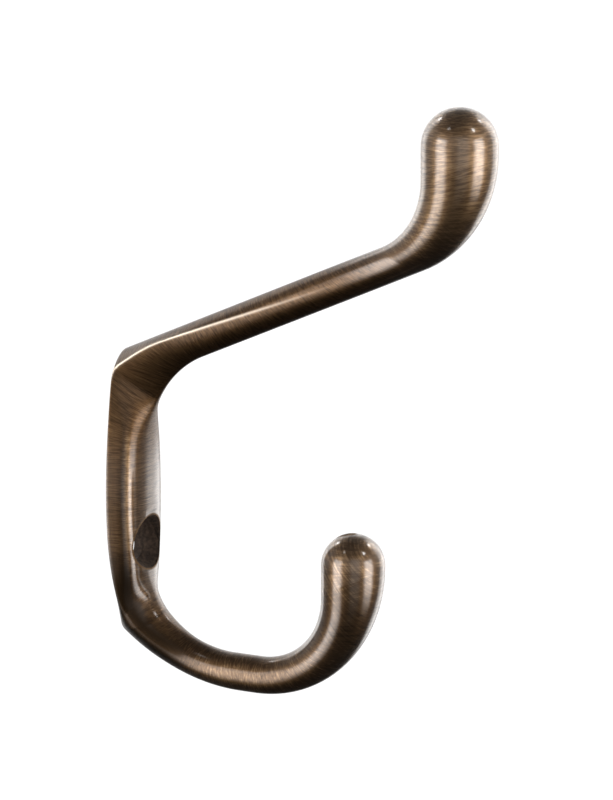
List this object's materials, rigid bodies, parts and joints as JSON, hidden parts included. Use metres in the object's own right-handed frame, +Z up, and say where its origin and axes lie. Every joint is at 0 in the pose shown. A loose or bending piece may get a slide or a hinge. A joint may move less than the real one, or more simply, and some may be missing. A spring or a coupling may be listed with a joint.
{
  "type": "coat and hat hook",
  "caption": "Cast wall hook with a long upper arm for a hat, a short upturned lower hook for a coat, round knobs and a narrow plate with a countersunk screw hole.",
  "frame": {"origin": "point where the screw's axis goes through the wall face", "axes": "+X out from the wall, +Z up, Y across; the wall is the plane X = 0"},
  "size_m": [0.0649, 0.0126, 0.0952],
  "materials": {
    "antique_brass": "brushed dark antique finish under clear lacquer"
  },
  "bodies": {
    "root": {"hook": "antique_brass"}
  },
  "joints": []
}
